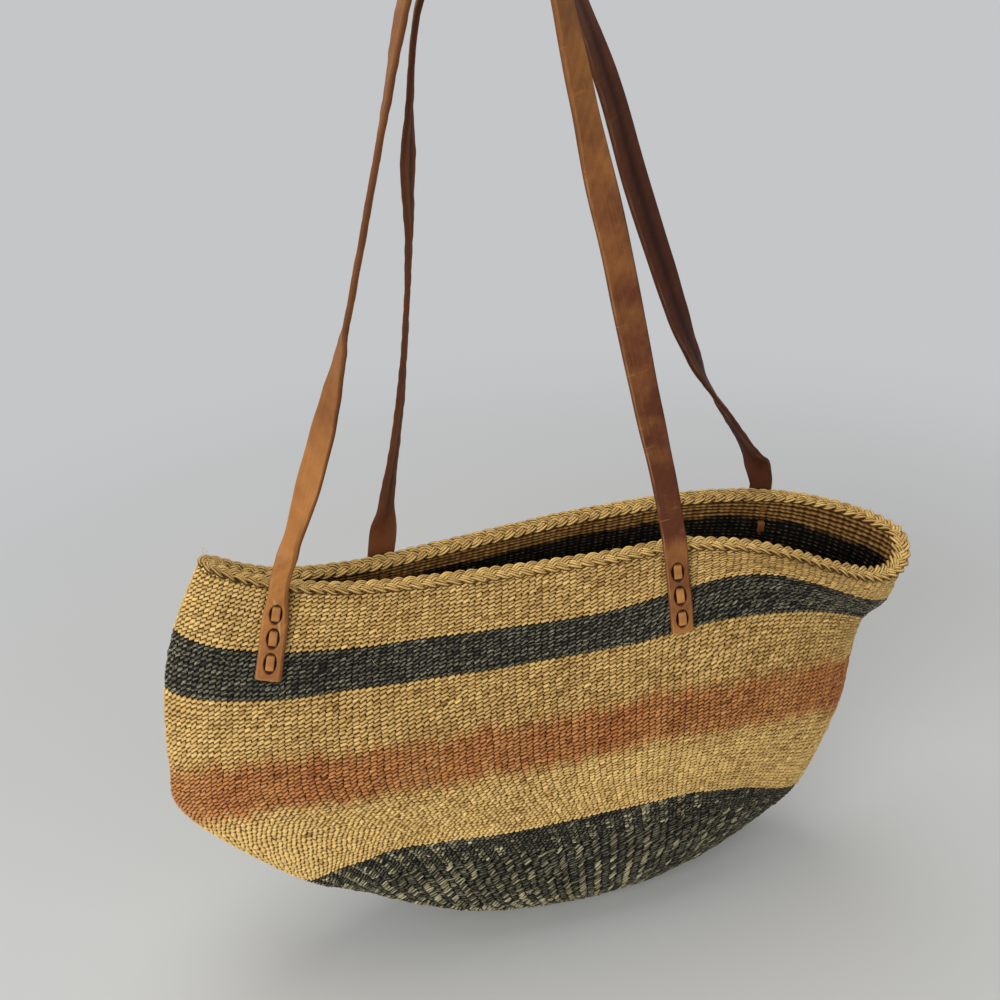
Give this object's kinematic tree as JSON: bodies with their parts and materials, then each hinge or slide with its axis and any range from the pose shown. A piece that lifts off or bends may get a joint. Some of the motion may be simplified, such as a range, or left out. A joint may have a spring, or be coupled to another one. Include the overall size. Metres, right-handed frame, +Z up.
{
  "type": "woven basket bag",
  "caption": "Soft oval basket bag of twined sisal with level stripes, a plaited rim and two long leather shoulder straps laced to its wall.",
  "frame": {"origin": "middle of the flat patch under the base that the bag stands on", "axes": "+X along the mouth, to the right as seen from the front; -Y towards the front, where the bag is seen from; +Z up"},
  "size_m": [0.4208, 0.0958, 0.5719],
  "materials": {
    "natural_sisal": "undyed sisal yarn, matt, twined over warp cords",
    "charcoal_sisal": "charcoal dyed sisal yarn with pale flecks, matt",
    "rust_sisal": "rust dyed sisal yarn with soft edges to the dye, matt",
    "mottled_sisal": "charcoal and cream sisal yarns twined together, matt",
    "plaited_sisal": "plait of undyed sisal, matt",
    "tan_leather": "vegetable tanned leather, worn and slightly shiny",
    "brown_leather": "darker flesh side of the same leather, dull",
    "lace_leather": "flat leather lace, slightly shiny"
  },
  "bodies": {
    "basket": {"base_band": "mottled_sisal", "lower_natural_band": "natural_sisal", "rust_band": "rust_sisal", "middle_natural_band": "natural_sisal", "charcoal_band": "charcoal_sisal", "top_natural_band": "natural_sisal", "rim_braid": "plaited_sisal", "front_left_strap_end": "tan_leather", "front_right_strap_end": "tan_leather", "back_left_strap_end": "brown_leather", "back_right_strap_end": "brown_leather", "front_left_lace": "lace_leather", "front_right_lace": "lace_leather", "back_left_lace": "lace_leather", "back_right_lace": "lace_leather"},
    "front_handle": {"front_handle": "tan_leather"},
    "back_handle": {"back_handle": "brown_leather"}
  },
  "joints": [
    {"name": "front_handle_fold", "type": "hinge", "parent": "basket", "child": "front_handle", "pos_m": [-0.14273, -0.01385, 0.26894], "axis": [0.9933, -0.1151, -0.0097], "range_deg": [0, 140]},
    {"name": "back_handle_fold", "type": "hinge", "parent": "basket", "child": "back_handle", "pos_m": [0.13314, 0.03038, 0.24975], "axis": [-0.9987, -0.0421, 0.0281], "range_deg": [0, 140]}
  ]
}
